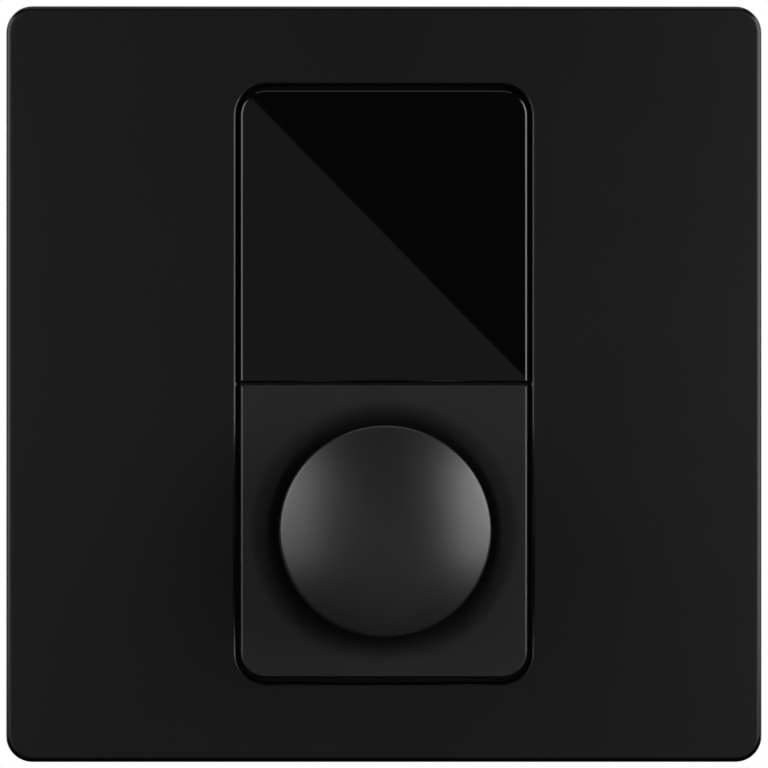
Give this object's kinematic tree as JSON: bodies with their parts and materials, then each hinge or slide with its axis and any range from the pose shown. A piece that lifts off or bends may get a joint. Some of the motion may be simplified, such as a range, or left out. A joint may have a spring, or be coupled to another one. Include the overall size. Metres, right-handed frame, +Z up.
{
  "type": "wall volume controller",
  "caption": "Square wall-mounted audio controller with a dark display window above a push-and-turn volume knob, on a snap-in frame for a wall box.",
  "frame": {"origin": "on the wall plane, midway between the two box screws, which is the centre of the square plate", "axes": "-Y out of the wall towards the user, +X to the right as seen from the front, +Z up"},
  "size_m": [0.086, 0.0404, 0.086],
  "materials": {
    "cover_plastic": "fine matte grain",
    "carrier_plastic": "fine matte grain",
    "frame_plastic": "plain moulded",
    "lens_plastic": "high gloss",
    "knob_plastic": "satin soft-touch",
    "tape": "adhesive tape",
    "foam": "closed-cell foam",
    "display_glass": "polished",
    "ribbon": "polyimide film",
    "connector_plastic": "plain moulded",
    "board": "solder mask",
    "chip_resin": "moulded resin",
    "capacitor_resin": "moulded resin",
    "ferrite": "pressed powder",
    "jack_plastic": "plain moulded",
    "rotor_plastic": "acetal",
    "contact_brass": "plated",
    "plated_steel": "tin plated",
    "spring_steel": "bright",
    "die_cast": "die cast",
    "shaft_metal": "turned"
  },
  "bodies": {
    "housing": {"face_plate": "cover_plastic", "mounting_frame": "frame_plastic", "control_bezel": "carrier_plastic", "rear_housing": "frame_plastic", "display_lens": "lens_plastic", "lens_tape": "tape", "display_gasket": "foam", "display_cap_glass": "display_glass", "display_base_glass": "display_glass", "display_foam": "foam", "display_holder": "frame_plastic", "display_flex": "ribbon", "flex_connector": "connector_plastic", "control_board": "board", "processor_chip": "chip_resin", "capacitors": "capacitor_resin", "power_inductor": "ferrite", "crystal": "plated_steel", "jack_body": "jack_plastic", "jack_contacts": "contact_brass", "jack_shield": "plated_steel", "encoder_clip": "plated_steel", "encoder_bushing": "die_cast", "encoder_base": "jack_plastic", "encoder_terminals": "contact_brass", "detent_spring": "spring_steel", "encoder_wipers": "contact_brass", "push_dome": "spring_steel", "encoder_washer": "plated_steel", "encoder_nut": "plated_steel"},
    "rotor": {"encoder_rotor": "rotor_plastic", "code_disc": "contact_brass"},
    "knob": {"encoder_shaft": "shaft_metal", "shaft_clip": "spring_steel", "knob": "knob_plastic", "knob_spring": "spring_steel"}
  },
  "joints": [
    {"name": "knob_turn", "type": "hinge", "parent": "housing", "child": "rotor", "pos_m": [0, 0, -0.0168], "axis": [0, 1, 0], "continuous": true, "deforming": ["detent_spring"]},
    {"name": "knob_push", "type": "slide", "parent": "rotor", "child": "knob", "axis": [0, 1, 0], "range_m": [0, 0.0005], "stiffness_N_per_m": 3000, "springref_m": -0.0005, "deforming": ["push_dome"]}
  ]
}
